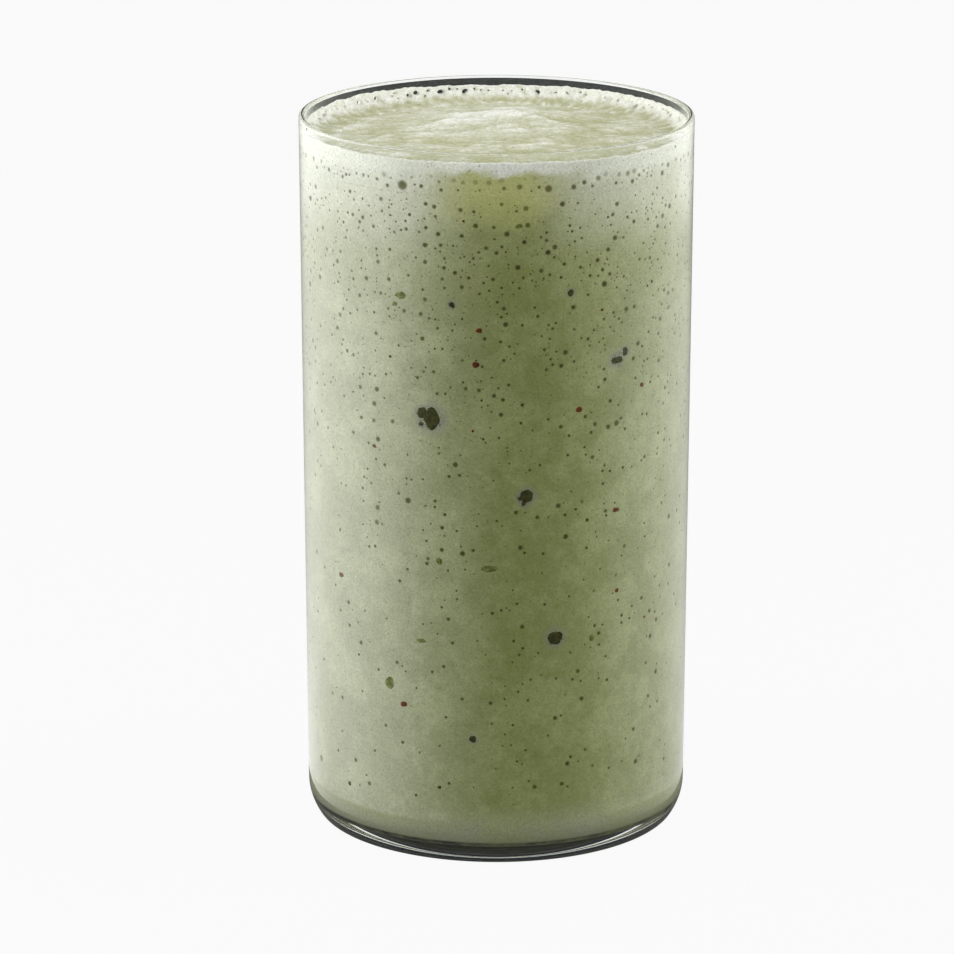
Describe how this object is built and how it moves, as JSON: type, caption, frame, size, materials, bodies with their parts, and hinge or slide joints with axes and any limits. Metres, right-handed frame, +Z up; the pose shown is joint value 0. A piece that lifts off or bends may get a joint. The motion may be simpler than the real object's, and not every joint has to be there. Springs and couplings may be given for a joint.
{
  "type": "milkshake in a tumbler",
  "caption": "Pale green blended milkshake with a frothy head, filled nearly to the rim of a tall straight-sided clear glass tumbler with a rounded heel.",
  "frame": {"origin": "centre of the foot ring, on the surface the tumbler stands on", "axes": "+Z up along the tumbler's axis; -Y faces the viewer of the picture; +X to that viewer's right"},
  "size_m": [0.08, 0.08, 0.1476],
  "materials": {
    "clear_glass": "clear, polished, fire-rounded lip",
    "green_shake": "wet, soft, finely bubbled",
    "froth": "moist fine foam"
  },
  "bodies": {
    "root": {"tumbler": "clear_glass", "shake": "green_shake", "froth": "froth"}
  },
  "joints": []
}
